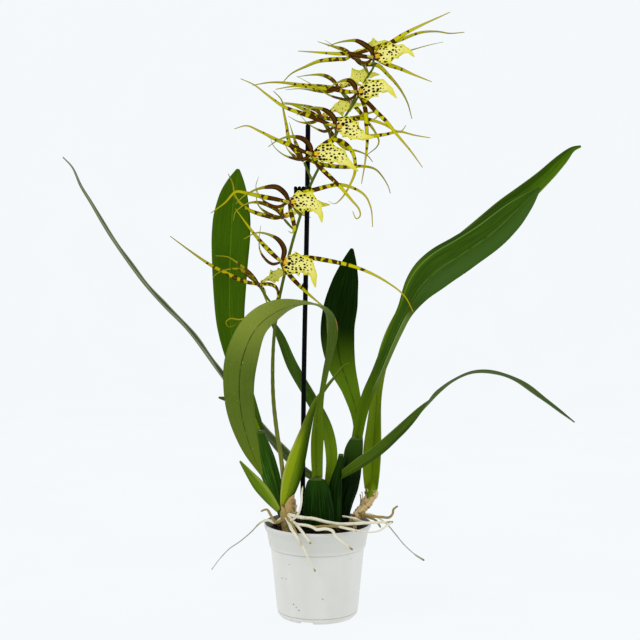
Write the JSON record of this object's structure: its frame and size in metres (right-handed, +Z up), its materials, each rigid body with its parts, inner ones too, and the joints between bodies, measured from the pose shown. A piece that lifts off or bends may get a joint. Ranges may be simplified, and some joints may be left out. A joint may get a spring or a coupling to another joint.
{
  "type": "potted brassia orchid",
  "caption": "Spider orchid in flower: strap leaves on pseudobulbs, a staked spike of long-petalled blooms with spotted lips, and white roots creeping over the rim of a pale nursery pot.",
  "frame": {"origin": "middle of the pot's round base, on the plane it rests on", "axes": "+Z up; the flowers of the front rank look along -Y; +X is to the right when they are looked at"},
  "size_m": [0.5712, 0.1547, 0.6665],
  "materials": {
    "pot_plastic": "pale grey-white moulded plastic, satin",
    "bark": "dark damp bark and coir",
    "black_stake": "black coated stick",
    "black_clip": "black plastic claw clip",
    "bulb": "dark green, waxy, finely ribbed",
    "leaf_olive": "olive green underside, satin",
    "leaf": "mid green strap leaf, satin",
    "leaf_dark": "very dark green, satin",
    "leaf_young": "bright yellow-green, satin",
    "sheath": "dry tan bract",
    "root": "creamy white velamen, matt",
    "stem": "green stalk, satin",
    "tepal": "yellow-green banded with chocolate brown",
    "lip": "pale yellow with small maroon spots"
  },
  "bodies": {
    "root": {"pot": "pot_plastic", "substrate": "bark", "stake": "black_stake", "clip": "black_clip", "bulb_front": "bulb", "bulb_cut": "bulb", "bulb_right": "bulb", "bulb_left": "bulb", "leaf_arch": "leaf_olive", "leaf_back_left": "leaf", "leaf_far_left": "leaf", "leaf_right_front": "leaf", "leaf_right_back": "leaf", "leaf_low_right": "leaf", "leaf_back_dark": "leaf_dark", "leaf_diagonal": "leaf", "leaf_tip_left": "leaf", "leaf_young": "leaf_young", "leaf_young_small": "leaf_young", "sheath_left": "sheath", "sheath_right": "sheath", "roots_left": "root", "roots_right": "root", "spike": "stem", "bloom_front_1_tepals": "tepal", "bloom_front_1_lip": "lip", "bloom_front_2_tepals": "tepal", "bloom_front_2_lip": "lip", "bloom_front_3_tepals": "tepal", "bloom_front_3_lip": "lip", "bloom_front_4_tepals": "tepal", "bloom_front_4_lip": "lip", "bloom_front_5_tepals": "tepal", "bloom_front_5_lip": "lip", "bloom_front_6_tepals": "tepal", "bloom_front_6_lip": "lip", "bloom_back_1_tepals": "tepal", "bloom_back_1_lip": "lip", "bloom_back_2_tepals": "tepal", "bloom_back_2_lip": "lip", "bloom_back_3_tepals": "tepal", "bloom_back_3_lip": "lip", "bloom_back_4_tepals": "tepal", "bloom_back_4_lip": "lip", "bloom_back_5_tepals": "tepal", "bloom_back_5_lip": "lip", "bloom_back_6_tepals": "tepal", "bloom_back_6_lip": "lip"}
  },
  "joints": []
}
